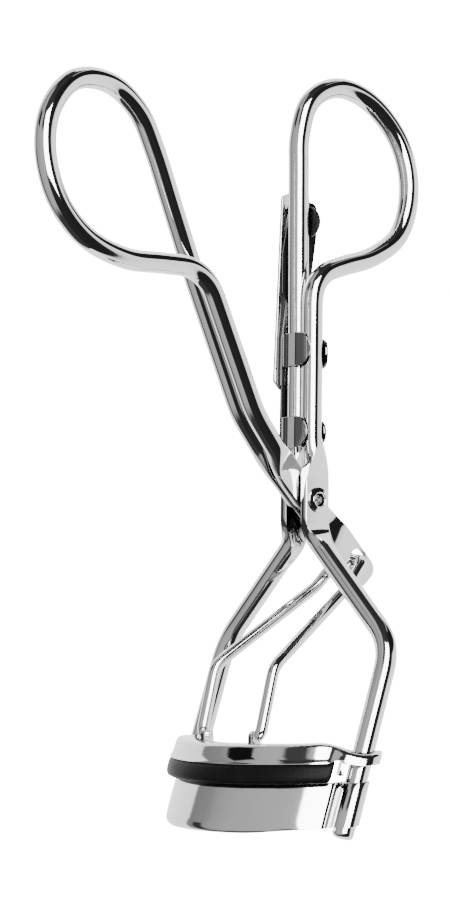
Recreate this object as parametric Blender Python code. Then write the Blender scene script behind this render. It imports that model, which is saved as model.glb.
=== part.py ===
"""Eyelash curler: two wire handles on a tubular rivet, a link wire, and a pair of curved jaws.

Lengths below are in millimetres, from a datum at the pivot's height on the fixed handle's centre
line: +X runs along the pivot towards the right-hand upright, +Z runs up the fixed handle, and the
jaws bulge towards -Y. The finished model is in metres, standing with the bottom centre of its
bounding box at the world origin.
"""
import math

import bmesh
import bpy
from mathutils import Matrix, Vector

MM = 0.001

# Driving dimensions -------------------------------------------------------------------------------
WIRE_R = 1.4                  # handle and frame wire, 2.8 mm stock
WIRE_SIDES = 12
HANDLE_X = 1.45               # the two wires of a handle run side by side at +-HANDLE_X
HANDLE_Y = 0.25               # middle of the fixed handle's straight wires
RUN_CLEARANCE = 0.3           # gap between pieces that touch or slide

UPRIGHT_X = 16.7              # half the distance between the two uprights
UPRIGHT_TOP = Vector((UPRIGHT_X, 0.8, -19.1))   # corner where an upright meets its diagonal
UPRIGHT_LEAN = math.radians(18.4)               # uprights lean towards -Y going down
UPRIGHT_LENGTH = 25.9         # corner to the wire's lower end
UPRIGHT_BEND_R = 7.0

PIVOT = Vector((0.0, 0.4, 0.0))
PLATE_X = 2.1                 # middle of each flattened frame cheek
PLATE_HALF_T = 0.62
PLATE_HALF_W = 2.1
LEVER_X = 0.65                # middle of each flattened lever cheek
LEVER_HALF_T = 0.53
LEVER_HALF_W = 2.0
TAIL_TOE_X = 0.5              # the lever thins and pinches in beyond the cheek, ...
TAIL_X = 1.15                 # ... then spreads to the middle of each tail blade
TAIL_HALF_T = 0.38
TAIL_HALF_W = 2.3
TAIL_ANGLE = math.radians(-45.5)
TAIL_LENGTH = 14.7            # pivot to the tail's end
TAIL_HOLE = 11.4              # pivot to the link hole, along the tail
TAIL_HOLE_OFFSET = 0.5        # and across it, towards the upper edge
TAIL_HOLE_R = 1.5

RIVET_SHANK_R = 1.0
RIVET_HEAD_R = 1.6
RIVET_HEAD_T = 0.5
RIVET_BORE_R = 0.55

LINK_R = 0.8                  # link wire, 1.6 mm stock
LINK_PIN_R = 0.25             # the wire's thinned ends, hooked into the lugs
LINK_PIN_REACH = 0.4          # they come out this far on the lugs' inner sides
LINK_LEG_X = 6.0
LINK_TOP_X = 2.75
LUG_X = 4.85                  # middle of each lug
LUG_HALF_T = 0.4
LUG_HALF_W = 0.8
LUG_DROP = 1.3                # the lugs' feet reach this far below the link's pins
LUG_PIVOT = Vector((0.0, -12.05, -31.3))         # axis of the link's lower pins

JAW_SINK = 0.06               # the jaws dip this much per millimetre away from the uprights
JAW_DEPTH = 10.7              # sagitta of the jaws' middle line
JAW_R = (UPRIGHT_X ** 2 + JAW_DEPTH ** 2) / (2 * JAW_DEPTH)
JAW_END = math.asin(UPRIGHT_X / JAW_R)          # arc angle at the uprights

FLANGE_TOP = 13.1             # distances down an upright from its corner
FLANGE_T = 0.7
SKIRT_BOTTOM = 15.7
PAD_BOTTOM = 18.1
LOWER_TOP = 18.4
LOWER_BOTTOM = 24.5
LOWER_BELLY = 0.45            # the lower jaw is this much deeper at its middle
SLEEVE_R = 1.85
SLEEVE_BORE_R = 1.45
NECK_R = 1.15                 # the wire inside a sleeve
EAR_R = 2.5
EAR_T = 1.7
EAR_DROOP = 1.35              # the flange rolls down this far on its way to the ears
PAD_STOP_RISE = 0.6           # the stops at the pad's ends end this far above its foot
LIP_R = 0.3                   # roll at the edges of the flange
SKIRT_FRONT = 1.75            # half widths of the channel and the pad
SKIRT_BACK = 1.7
SHEET_T = 0.45
PAD_HALF_W = 1.7
STEM_HALF_W = 0.75

WEB_X = -3.35                 # accessory holder's web
WEB_HALF_T = 0.2
BLADE_X = -4.05
BLADE_HALF_T = 0.2
BLADE_PIVOT = Vector((0.0, 1.8, 36.3))
BLADE_RIVET_R = 0.4


# Mesh helpers -------------------------------------------------------------------------------------
def clear_scene():
    for obj in list(bpy.data.objects):
        bpy.data.objects.remove(obj, do_unlink=True)


def material(name, color, metallic, roughness):
    mat = bpy.data.materials.new(name)
    mat.use_nodes = True
    shader = mat.node_tree.nodes["Principled BSDF"]
    shader.inputs["Base Color"].default_value = (*color, 1.0)
    shader.inputs["Metallic"].default_value = metallic
    shader.inputs["Roughness"].default_value = roughness
    mat.diffuse_color = (*color, 1.0)
    return mat


def add_object(name, bm, mat, parent, origin=Vector((0, 0, 0))):
    """Turn a bmesh in millimetres into an object whose origin is at the given point."""
    bmesh.ops.recalc_face_normals(bm, faces=bm.faces)
    bmesh.ops.transform(bm, matrix=Matrix.Scale(MM, 4) @ Matrix.Translation(-origin), verts=bm.verts)
    mesh = bpy.data.meshes.new(name)
    bm.to_mesh(mesh)
    bm.free()
    mesh.materials.append(mat)
    mesh.shade_smooth()
    mesh.set_sharp_from_angle(angle=math.radians(35))
    obj = bpy.data.objects.new(name, mesh)
    bpy.context.scene.collection.objects.link(obj)
    obj.parent = parent
    obj.location = origin * MM
    return obj


def add_cutter(target, name, bm, operation):
    """Join or cut the target with another solid through an exact Boolean."""
    cutter = add_object(name, bm, target.data.materials[0], target.parent)
    cutter.hide_render = True
    cutter.hide_viewport = False
    cutter.display_type = 'WIRE'
    modifier = target.modifiers.new(name, 'BOOLEAN')
    modifier.operation = operation
    modifier.solver = 'EXACT'
    modifier.object = cutter


def bridge_rings(bm, rings, closed_path=False):
    """Skin a list of equally long point rings into a closed solid."""
    verts = [[bm.verts.new(p) for p in ring] for ring in rings]
    count = len(rings[0])
    pairs = list(zip(verts, verts[1:]))
    if closed_path:
        pairs.append((verts[-1], verts[0]))
    for low, high in pairs:
        for i in range(count):
            j = (i + 1) % count
            bm.faces.new((low[i], low[j], high[j], high[i]))
    if not closed_path:
        bm.faces.new(list(reversed(verts[0])))
        bm.faces.new(verts[-1])


def cylinder(bm, start, end, radius, sides=20):
    axis = (end - start).normalized()
    side = axis.orthogonal().normalized()
    up = axis.cross(side)
    turns = [2 * math.pi * i / sides for i in range(sides)]
    bridge_rings(bm, [[c + (side * math.cos(a) + up * math.sin(a)) * radius for a in turns]
                      for c in (start, end)])


def cross_pin(bm, centre, half_length, radius, sides=20):
    """Cylinder along X, centred on a point."""
    reach = Vector((half_length, 0, 0))
    cylinder(bm, centre - reach, centre + reach, radius, sides)


def prism(bm, outline, x_low, x_high):
    """Extrude an outline of (y, z) points along X."""
    bridge_rings(bm, [[Vector((x, y, z)) for y, z in outline] for x in (x_low, x_high)])


def rounded_outline(corners, segments=5):
    """Round the corners of a closed (y, z) outline; each corner is (y, z, radius)."""
    points = []
    count = len(corners)
    for i, (y, z, radius) in enumerate(corners):
        here = Vector((y, z))
        before = (Vector(corners[i - 1][:2]) - here).normalized()
        after = (Vector(corners[(i + 1) % count][:2]) - here).normalized()
        if radius == 0:
            points.append(here)
            continue
        half = before.angle(after) / 2
        reach = radius / math.tan(half)
        centre = here + (before + after).normalized() * (radius / math.sin(half))
        start = here + before * reach - centre
        finish = here + after * reach - centre
        for k in range(segments + 1):
            points.append(centre + start.slerp(finish, k / segments).normalized() * radius)
    return [(p.x, p.y) for p in points]


def smoothstep(low, high, value):
    t = min(max((value - low) / (high - low), 0.0), 1.0)
    return t * t * (3 - 2 * t)


# Wire paths ---------------------------------------------------------------------------------------
def fillet_path(corners, turn_step=math.radians(6)):
    """Polyline through (point, bend radius) corners with every bend as a true arc."""
    path = [corners[0][0]]
    for (a, _), (b, radius), (c, _) in zip(corners, corners[1:], corners[2:]):
        into = (b - a).normalized()
        out = (c - b).normalized()
        turn = into.angle(out)
        if turn < 1e-4 or radius == 0:
            path.append(b)
            continue
        reach = radius * math.tan(turn / 2)
        start = b - into * reach
        centre = start + (out - into * into.dot(out)).normalized() * radius
        arm = start - centre
        axis = into.cross(out).normalized()
        steps = max(2, math.ceil(turn / turn_step))
        path += [centre + Matrix.Rotation(turn * k / steps, 3, axis) @ arm for k in range(steps + 1)]
    path.append(corners[-1][0])
    return path


def spline(knots, step=0.5):
    """Centripetal Catmull-Rom curve through the knots, end tangents taken from the end knots."""
    points = [2 * knots[0] - knots[1]] + knots + [2 * knots[-1] - knots[-2]]
    path = []
    for p0, p1, p2, p3 in zip(points, points[1:], points[2:], points[3:]):
        t1 = math.sqrt((p1 - p0).length)
        t2 = t1 + math.sqrt((p2 - p1).length)
        t3 = t2 + math.sqrt((p3 - p2).length)
        count = max(2, round((p2 - p1).length / step))
        for k in range(count):
            t = t1 + (t2 - t1) * k / count
            a1 = p0.lerp(p1, t / t1)
            a2 = p1.lerp(p2, (t - t1) / (t2 - t1))
            a3 = p2.lerp(p3, (t - t2) / (t3 - t2))
            b1 = a1.lerp(a2, t / t2)
            b2 = a2.lerp(a3, (t - t1) / (t3 - t1))
            path.append(b1.lerp(b2, (t - t1) / (t2 - t1)))
    path.append(knots[-1])
    return path


def resample(path, step):
    """Points at an even spacing of about the given step along a polyline."""
    lengths = [0.0]
    for a, b in zip(path, path[1:]):
        lengths.append(lengths[-1] + (b - a).length)
    count = max(1, round(lengths[-1] / step))
    result = []
    i = 0
    for k in range(count + 1):
        want = lengths[-1] * k / count
        while i < len(path) - 2 and lengths[i + 1] < want:
            i += 1
        span = max(lengths[i + 1] - lengths[i], 1e-9)
        result.append(path[i].lerp(path[i + 1], min((want - lengths[i]) / span, 1.0)))
    return result


def stations(path, longest, turn=math.radians(13)):
    """Thin a dense path: a station at each turn, and at each longest(point) millimetres."""
    dense = resample(path, 0.25)
    picked = [0]
    for i in range(1, len(dense) - 1):
        last = picked[-1]
        went = (i - last) * 0.25
        here = (dense[i + 1] - dense[i]).normalized()
        there = (dense[last + 1] - dense[last]).normalized()
        if went >= 0.25 and (here.angle(there, 0.0) > turn or went >= longest(dense[i])):
            picked.append(i)
    picked.append(len(dense) - 1)
    return [(dense[i], (dense[min(i + 1, len(dense) - 1)] - dense[max(i - 1, 0)]).normalized())
            for i in picked]


def superellipse(half_t, half_w, power, sides):
    """Section points (t, w): a circle at power 2, a flat bar with round edges at power 6."""
    ring = []
    for i in range(sides):
        a = 2 * math.pi * i / sides
        c, s = math.cos(a), math.sin(a)
        ring.append((half_t * math.copysign(abs(c) ** (2 / power), c),
                     half_w * math.copysign(abs(s) ** (2 / power), s)))
    return ring


def sweep_wire(path, section, longest, sides=WIRE_SIDES):
    """Sweep section(point, distance, total) = (half_t, half_w, power), thickness kept along X."""
    bm = bmesh.new()
    placed = stations(path, longest)
    total = sum((b[0] - a[0]).length for a, b in zip(placed, placed[1:]))
    rings = []
    distance = 0.0
    for i, (point, tangent) in enumerate(placed):
        if i:
            distance += (point - placed[i - 1][0]).length
        thick = (Vector((1, 0, 0)) - tangent * tangent.x).normalized()
        wide = tangent.cross(thick)
        rings.append([point + thick * t + wide * w
                      for t, w in superellipse(*section(point, distance, total), sides)])
    bridge_rings(bm, rings)
    return bm


def sweep_round(path, radius_at, longest, turn=math.radians(16), sides=10):
    """Sweep a round wire whose radius depends on the distance from its nearer end."""
    bm = bmesh.new()
    placed = stations(path, longest, turn)
    total = sum((b[0] - a[0]).length for a, b in zip(placed, placed[1:]))
    side = placed[0][1].orthogonal().normalized()
    rings = []
    distance = 0.0
    for i, (point, tangent) in enumerate(placed):
        if i:
            distance += (point - placed[i - 1][0]).length
        side = (side - tangent * side.dot(tangent)).normalized()
        up = tangent.cross(side)
        radius = radius_at(min(distance, total - distance))
        rings.append([point + (side * math.cos(a) + up * math.sin(a)) * radius
                      for a in (2 * math.pi * k / sides for k in range(sides))])
    bridge_rings(bm, rings)
    return bm


def mirrored(points):
    return [Vector((-p.x, p.y, p.z)) for p in points]


# Jaw coordinates ----------------------------------------------------------------------------------
DOWN = Vector((0, -math.sin(UPRIGHT_LEAN), -math.cos(UPRIGHT_LEAN)))


def upright_point(side, distance):
    return Vector((side * UPRIGHT_X, UPRIGHT_TOP.y, UPRIGHT_TOP.z)) + DOWN * distance


def in_jaw_plane(x, q):
    """Step of x across and q away from the uprights, in the jaws' slightly sinking plane."""
    return Vector((x, -q, -JAW_SINK * q))


def jaw_point(angle, offset, distance):
    """Point at an arc angle, offset outwards from the jaws' middle line, down the uprights."""
    radius = JAW_R + offset
    q = JAW_DEPTH - JAW_R + radius * math.cos(angle)
    return upright_point(0, distance) + in_jaw_plane(radius * math.sin(angle), q)


# Pieces -------------------------------------------------------------------------------------------
def frame_path():
    """Centre line of the fixed handle's wire, from the right sleeve round to the left sleeve."""
    def leg(side):
        return [upright_point(side, UPRIGHT_LENGTH),
                Vector((side * UPRIGHT_TOP.x, UPRIGHT_TOP.y, UPRIGHT_TOP.z)),
                Vector((side * PLATE_X, 0.7, -5.2)),
                Vector((side * PLATE_X, 0.4, -3.0)),
                Vector((side * PLATE_X, 0.4, 3.6)),
                Vector((side * HANDLE_X, HANDLE_Y, 7.8))]
    radii = [0, UPRIGHT_BEND_R, 4.0, 4.0, 6.0, 6.0]
    right = list(zip(leg(1), radii))
    left = list(zip(leg(-1), radii))[::-1]
    near = fillet_path(right + [(Vector((HANDLE_X, HANDLE_Y, 30.4)), 5.0), (Vector((HANDLE_X, 6.0, 32.4)), 0)])
    far = fillet_path([(Vector((-HANDLE_X, 0.05, 46.0)), 0), (Vector((-HANDLE_X, HANDLE_Y, 22.0)), 40.0)]
                      + left)
    loop = [(10.9, 34.0), (16.2, 37.7), (18.5, 44.6), (17.2, 51.2), (12.3, 56.3), (6.6, 57.5),
            (1.9, 54.9), (0.1, 49.5)]
    return near, loop, far


def tail_point(x, along, across=0.0):
    """Point on the lever's tail, along it from the pivot and across it towards its upper edge."""
    c, s = math.cos(TAIL_ANGLE), math.sin(TAIL_ANGLE)
    return PIVOT + Vector((x, along * c - across * s, along * s + across * c))


def lever_path():
    """Centre line of the moving handle's wire, from the right tail round to the left tail."""
    def leg(side):
        return [tail_point(side * TAIL_X, TAIL_LENGTH),
                tail_point(side * TAIL_X, 7.0),
                tail_point(side * TAIL_TOE_X, 4.4),
                tail_point(side * LEVER_X, 2.6),
                tail_point(side * LEVER_X, -5.0),
                tail_point(side * HANDLE_X, -9.0),
                Vector((side * HANDLE_X, -9.75, 11.1))]
    radii = [0, 1.5, 1.5, 3.0, 6.0, 6.0, 14.0]
    right = list(zip(leg(1), radii))
    left = list(zip(leg(-1), radii))[::-1]
    near = fillet_path(right + [(Vector((HANDLE_X, -18.5, 29.6)), 6.0), (Vector((HANDLE_X, -26.0, 29.5)), 0)])
    far = fillet_path([(Vector((-HANDLE_X, -21.9, 38.0)), 0), (Vector((-HANDLE_X, -17.7, 28.2)), 60.0)] + left)
    loop = [(-31.5, 29.5), (-37.8, 31.6), (-41.9, 35.8), (-43.6, 41.8), (-42.5, 47.4), (-38.3, 51.9),
            (-32.2, 52.3), (-27.5, 49.3), (-24.8, 44.7)]
    return near, loop, far


def closed_handle(near, loop, far):
    """Join the two wires of a handle through its finger loop, crossing evenly from +X to -X."""
    flat = spline([Vector((0, near[-2].y, near[-2].z)), Vector((0, near[-1].y, near[-1].z))]
                  + [Vector((0, y, z)) for y, z in loop]
                  + [Vector((0, far[0].y, far[0].z)), Vector((0, far[1].y, far[1].z))])
    start = min(range(len(flat)), key=lambda i: (flat[i] - Vector((0, near[-1].y, near[-1].z))).length)
    stop = min(range(len(flat)), key=lambda i: (flat[i] - Vector((0, far[0].y, far[0].z))).length)
    arc = flat[start + 1:stop]
    for i, point in enumerate(arc):
        point.x = HANDLE_X * math.cos(math.pi * smoothstep(0, len(arc) - 1, i))
    return near + arc + far


def frame_section(point, distance, total):
    """Round wire, flattened into a cheek at the pivot and necked inside the sleeves."""
    flat = smoothstep(-7.0, -3.6, point.z) * (1 - smoothstep(3.0, 7.6, point.z))
    half_t = WIRE_R + (PLATE_HALF_T - WIRE_R) * flat
    half_w = WIRE_R + (PLATE_HALF_W - WIRE_R) * flat
    end = min(distance, total - distance)
    neck = smoothstep(1.9, 2.2, end) * (1 - smoothstep(7.4, 7.7, end))
    tip = math.sqrt(max(0.0, 1 - (1 - min(end / 0.5, 1.0)) ** 2)) * 0.35 + 0.65
    scale = (1 - neck * (1 - NECK_R / WIRE_R)) * tip
    return half_t * scale, half_w * scale, 2 + 4 * flat


def lever_section(point, distance, total):
    """Round wire, flattened into a cheek at the pivot and coined thinner at the tail."""
    along = (point - PIVOT).dot(tail_point(0, 1) - PIVOT)
    flat = smoothstep(-9.5, -5.5, along)
    tail = smoothstep(2.6, 4.4, along)
    end = min(distance, total - distance)
    corner = 1.0
    if end < 1.2:
        corner = 0.45 + 0.55 * math.sqrt(max(0.0, 1 - (1 - end / 1.2) ** 2))
    half_t = WIRE_R + (LEVER_HALF_T - WIRE_R) * flat + (TAIL_HALF_T - LEVER_HALF_T) * tail
    half_w = WIRE_R + (LEVER_HALF_W - WIRE_R) * flat + (TAIL_HALF_W - LEVER_HALF_W) * tail
    return half_t, half_w * corner, 2 + 4 * flat


def near_pivot(point):
    return 0.9 if -9.5 < point.z < 9.5 else 6.0


def near_lever(point):
    return 0.9 if point.z < 9.0 else 6.0


def frame_longest(point):
    low = upright_point(1, UPRIGHT_LENGTH - 8.2).z
    return 0.3 if point.z < low else near_pivot(point)


def make_fixed_handle(chrome, parent):
    bm = sweep_wire(closed_handle(*frame_path()), frame_section, frame_longest)
    frame = add_object("fixed_handle_frame", bm, chrome, parent)
    bm = bmesh.new()
    cross_pin(bm, PIVOT, 5, RIVET_SHANK_R + RUN_CLEARANCE)
    add_cutter(frame, "frame_rivet_hole", bm, 'DIFFERENCE')
    return frame


def make_moving_handle(chrome, parent):
    bm = sweep_wire(closed_handle(*lever_path()), lever_section, near_lever)
    lever = add_object("moving_handle", bm, chrome, parent)
    bm = bmesh.new()
    cross_pin(bm, PIVOT, 5, RIVET_SHANK_R + RUN_CLEARANCE)
    add_cutter(lever, "lever_rivet_hole", bm, 'DIFFERENCE')
    bm = bmesh.new()
    cross_pin(bm, tail_point(0, TAIL_HOLE, TAIL_HOLE_OFFSET), 5, TAIL_HOLE_R)
    add_cutter(lever, "tail_link_hole", bm, 'DIFFERENCE')
    return lever


def revolve(bm, profile, centre, axis, sides=24):
    """Turn a closed (distance along axis, radius) profile about an axis; radii above zero."""
    side = axis.orthogonal().normalized()
    up = axis.cross(side)
    rings = []
    for i in range(sides):
        a = 2 * math.pi * i / sides
        spoke = side * math.cos(a) + up * math.sin(a)
        rings.append([centre + axis * along + spoke * radius for along, radius in profile])
    bridge_rings(bm, rings, closed_path=True)


def make_pivot_rivet(steel, parent):
    """Tubular rivet: two rolled heads on a hollow shank, with the bore running right through."""
    face = PLATE_X + PLATE_HALF_T + RUN_CLEARANCE
    out = face + RIVET_HEAD_T
    half = [(face, RIVET_SHANK_R), (face, RIVET_HEAD_R), (face + 0.25, RIVET_HEAD_R),
            (out, RIVET_HEAD_R - 0.3), (out, RIVET_BORE_R + 0.35), (out - 0.3, RIVET_BORE_R)]
    profile = half + [(-along, radius) for along, radius in reversed(half)]
    bm = bmesh.new()
    revolve(bm, profile, PIVOT, Vector((1, 0, 0)))
    return add_object("pivot_rivet", bm, steel, parent, PIVOT)


def make_link(chrome, parent):
    """U-shaped link wire: its bend runs through the tail holes, its ends hook into the lugs."""
    leg = [Vector((LUG_X - LUG_HALF_T - LINK_PIN_REACH, LUG_PIVOT.y, LUG_PIVOT.z)),
           Vector((LINK_LEG_X, LUG_PIVOT.y, LUG_PIVOT.z)),
           Vector((LINK_LEG_X, -9.8, -22.2)),
           Vector((3.3, 5.6, -11.4)),
           tail_point(LINK_TOP_X, TAIL_HOLE, TAIL_HOLE_OFFSET)]
    radii = [0, 0.85, 3.0, 4.0, 1.3]
    path = fillet_path(list(zip(leg, radii)) + list(zip(mirrored(leg), radii))[::-1])

    pin_length = 2 * LUG_HALF_T + LINK_PIN_REACH + RUN_CLEARANCE

    def radius_at(end):
        return LINK_PIN_R + (LINK_R - LINK_PIN_R) * smoothstep(pin_length, pin_length + 0.3, end)

    bm = sweep_round(path, radius_at, lambda p: 0.25 if p.z < LUG_PIVOT.z + 0.1 else 4.0)
    return add_object("link_wire", bm, chrome, parent, LUG_PIVOT.copy())


def jaw_strip(section_at, end_angle, count=28):
    """Sweep section_at(angle) = [(offset, distance), ...] along the jaws' arc."""
    bm = bmesh.new()
    rings = []
    for i in range(count + 1):
        angle = end_angle * (2 * i / count - 1)
        rings.append([jaw_point(angle, *corner) for corner in section_at(angle)])
    bridge_rings(bm, rings)
    return bm


def ear_droop(angle):
    return EAR_DROOP * smoothstep(0.72 * JAW_END, JAW_END, abs(angle))


def make_upper_jaw(chrome, parent):
    """Pressed channel: flange on top, a flared front skirt, a short back skirt, and two ears."""
    def channel(angle):
        top = FLANGE_TOP + ear_droop(angle)
        low = SKIRT_BOTTOM - 1.0 * smoothstep(0.8 * JAW_END, 0.95 * JAW_END, abs(angle))
        low = max(low, top + FLANGE_T + 0.4)
        front, back = SKIRT_FRONT, -SKIRT_BACK
        return [(back, top + LIP_R), (back + LIP_R, top), (front - 2 * LIP_R, top),
                (front - LIP_R, top + LIP_R), (front, low), (front - SHEET_T, low),
                (STEM_HALF_W + RUN_CLEARANCE, top + FLANGE_T), (back + SHEET_T, top + FLANGE_T),
                (back + SHEET_T, low - 0.3), (back, low - 0.3)]

    jaw = add_object("upper_jaw", jaw_strip(channel, 0.97 * JAW_END), chrome, parent)
    ear_top = FLANGE_TOP + EAR_DROOP
    for side, label in ((1, "right"), (-1, "left")):
        bm = bmesh.new()
        turns = [2 * math.pi * k / 24 for k in range(24)]
        bridge_rings(bm, [[upright_point(side, d) + in_jaw_plane(EAR_R * math.cos(a), EAR_R * math.sin(a))
                           for a in turns] for d in (ear_top, ear_top + EAR_T)])
        add_cutter(jaw, label + "_ear", bm, 'UNION')
    for side, label in ((1, "right"), (-1, "left")):
        bm = bmesh.new()
        angle = side * 0.89 * JAW_END
        low = [jaw_point(angle + side * da, offset, PAD_BOTTOM - PAD_STOP_RISE) for da, offset in
               ((-0.017, -1.0), (0.017, -1.0), (0.017, 1.0), (-0.017, 1.0))]
        rise = DOWN * -(PAD_BOTTOM - ear_top - 1.4)
        bridge_rings(bm, [low, [p + rise for p in low]])
        add_cutter(jaw, label + "_pad_stop", bm, 'UNION')
    for side, label in ((1, "right"), (-1, "left")):
        bm = bmesh.new()
        cylinder(bm, upright_point(side, ear_top - 3), upright_point(side, ear_top + 5),
                 WIRE_R + RUN_CLEARANCE, 20)
        add_cutter(jaw, label + "_ear_hole", bm, 'DIFFERENCE')
    for side, label in ((1, "right"), (-1, "left")):
        bm = bmesh.new()
        y, z = LUG_PIVOT.y, LUG_PIVOT.z
        outline = rounded_outline([(y - LUG_HALF_W, z - LUG_DROP, 0), (y + LUG_HALF_W, z - LUG_DROP, 0),
                                   (y + LUG_HALF_W, z + LUG_HALF_W, 0.6),
                                   (y - LUG_HALF_W, z + LUG_HALF_W, 0.6)])
        prism(bm, outline, side * (LUG_X - LUG_HALF_T), side * (LUG_X + LUG_HALF_T))
        add_cutter(jaw, label + "_lug", bm, 'UNION')
    bm = bmesh.new()
    cross_pin(bm, LUG_PIVOT, 8, LINK_PIN_R + RUN_CLEARANCE, 16)
    add_cutter(jaw, "lug_holes", bm, 'DIFFERENCE')
    return jaw


def make_pad(rubber, parent):
    """Rubber pad: a stem held in the channel and a rounded head that meets the lower jaw."""
    def section(angle):
        head = SKIRT_BOTTOM + RUN_CLEARANCE
        drop = PAD_BOTTOM - head
        w = PAD_HALF_W
        front = [(w, head), (0.98 * w, head + 0.35 * drop), (0.83 * w, head + 0.7 * drop),
                 (0.52 * w, head + 0.95 * drop), (0.2 * w, PAD_BOTTOM)]
        back = [(-offset, distance) for offset, distance in reversed(front)]
        stem_top = FLANGE_TOP + ear_droop(angle) + FLANGE_T + RUN_CLEARANCE
        return ([(STEM_HALF_W, stem_top), (STEM_HALF_W, head)] + front + back
                + [(-STEM_HALF_W, head), (-STEM_HALF_W, stem_top)])

    return add_object("rubber_pad", jaw_strip(section, 0.83 * JAW_END, 26), rubber, parent)


def make_lower_jaw(chrome, parent):
    """Curved plate, deeper at its middle, with a sleeve rolled round each upright."""
    def wall(angle):
        low = LOWER_BOTTOM + LOWER_BELLY * (1 - smoothstep(0.35 * JAW_END, 0.8 * JAW_END, abs(angle)))
        return [(0.5, LOWER_TOP), (0.5, low - 0.9), (0.3, low), (-0.6, low), (-0.5, low - 0.9),
                (-0.5, LOWER_TOP)]

    jaw = add_object("lower_jaw", jaw_strip(wall, 0.985 * JAW_END, 32), chrome, parent)
    for side, label in ((1, "right"), (-1, "left")):
        bm = bmesh.new()
        cylinder(bm, upright_point(side, LOWER_TOP + 0.02), upright_point(side, LOWER_BOTTOM - 0.2),
                 SLEEVE_R, 24)
        add_cutter(jaw, label + "_sleeve", bm, 'UNION')
    for side, label in ((1, "right"), (-1, "left")):
        bm = bmesh.new()
        cylinder(bm, upright_point(side, LOWER_TOP - 3), upright_point(side, LOWER_BOTTOM + 3),
                 SLEEVE_BORE_R, 20)
        add_cutter(jaw, label + "_sleeve_bore", bm, 'DIFFERENCE')
    return jaw


def make_holder(chrome, parent):
    """Sheet holder lying beside the fixed handle, with tabs crimped round both of its wires."""
    web = rounded_outline([(-1.5, 7.2, 0.4), (1.9, 7.2, 0.4), (2.9, 16.0, 2.0), (3.1, 30.0, 0),
                           (3.9, 36.5, 1.0), (3.9, 41.0, 0.8), (1.7, 41.4, 0.8), (-0.65, 39.4, 0.8),
                           (-1.5, 34.0, 2.0), (-1.5, 28.5, 1.0), (-0.9, 26.8, 0), (-1.5, 22.0, 0)])
    bm = bmesh.new()
    prism(bm, web, WEB_X - WEB_HALF_T, WEB_X + WEB_HALF_T)
    holder = add_object("accessory_holder", bm, chrome, parent)

    def tab(y_inner, direction, z_mid, half_height, reach, label):
        """L-shaped tab: a root rising from the web's edge and a D-shaped leaf across the wires."""
        outer = y_inner + direction * 2 * WEB_HALF_T
        root = WEB_X - WEB_HALF_T
        leaf = [(root, -half_height), (reach - half_height * 0.7, -half_height)]
        arc = 8
        for k in range(1, arc):
            a = math.pi * (k / arc - 0.5)
            leaf.append((reach - half_height * 0.7 * (1 - math.cos(a)), half_height * math.sin(a)))
        leaf += [(reach - half_height * 0.7, half_height), (root, half_height)]
        bm = bmesh.new()
        bridge_rings(bm, [[Vector((x, y, z_mid + z)) for x, z in leaf] for y in (y_inner, outer)])
        add_cutter(holder, label, bm, 'UNION')

    front = HANDLE_Y - WIRE_R - RUN_CLEARANCE
    back = HANDLE_Y + WIRE_R + RUN_CLEARANCE
    tab(front, -1, 20.4, 2.15, 2.9, "front_tab_upper")
    tab(front, -1, 9.2, 2.1, 2.5, "front_tab_lower")
    tab(back, 1, 19.9, 2.0, 2.9, "back_tab_upper")
    tab(back, 1, 9.2, 1.7, 2.3, "back_tab_lower")
    tab(back, 1, 38.2, 2.1, 0.6, "back_tab_top")
    bm = bmesh.new()
    cross_pin(bm, BLADE_PIVOT + Vector((WEB_X, 0, 0)), 1, BLADE_RIVET_R + RUN_CLEARANCE, 16)
    add_cutter(holder, "holder_rivet_hole", bm, 'DIFFERENCE')
    return holder


def make_blade(steel, parent):
    """Slim polished blade with slanted ends, folded flat along the holder."""
    outline = rounded_outline([(-1.9, 16.3, 0.3), (-0.9, 15.2, 0.3), (3.9, 15.1, 0.8), (4.2, 42.3, 0.4),
                               (0.8, 42.5, 0.4), (-0.75, 41.9, 0.4)])
    bm = bmesh.new()
    prism(bm, outline, BLADE_X - BLADE_HALF_T, BLADE_X + BLADE_HALF_T)
    blade = add_object("accessory_blade", bm, steel, parent, BLADE_PIVOT)
    bm = bmesh.new()
    cross_pin(bm, BLADE_PIVOT + Vector((BLADE_X, 0, 0)), 1, BLADE_RIVET_R + RUN_CLEARANCE, 16)
    add_cutter(blade, "blade_rivet_hole", bm, 'DIFFERENCE')
    return blade


def make_blade_rivet(steel, parent):
    """Small domed rivet that holds the blade to the holder and lets it swing."""
    inner = WEB_X + WEB_HALF_T + 0.05
    outer = BLADE_X - BLADE_HALF_T - RUN_CLEARANCE
    profile = [(outer - 0.35, 0.05), (outer - 0.35, 0.7), (outer - 0.1, 1.1), (outer, 1.1),
               (outer, BLADE_RIVET_R), (inner, BLADE_RIVET_R), (inner, 0.05)]
    bm = bmesh.new()
    revolve(bm, profile, BLADE_PIVOT, Vector((1, 0, 0)), 16)
    return add_object("accessory_rivet", bm, steel, parent, BLADE_PIVOT)


def settle_on_floor(root):
    """Move the whole model so that the bottom centre of its bounding box is the world origin."""
    bpy.context.view_layer.update()
    graph = bpy.context.evaluated_depsgraph_get()
    points = []
    for obj in bpy.context.scene.objects:
        if obj.type == 'MESH' and not obj.hide_render:
            shape = obj.evaluated_get(graph)
            points += [shape.matrix_world @ v.co for v in shape.data.vertices]
    low = Vector([min(p[i] for p in points) for i in range(3)])
    high = Vector([max(p[i] for p in points) for i in range(3)])
    root.location = -Vector(((low.x + high.x) / 2, (low.y + high.y) / 2, low.z))


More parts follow.
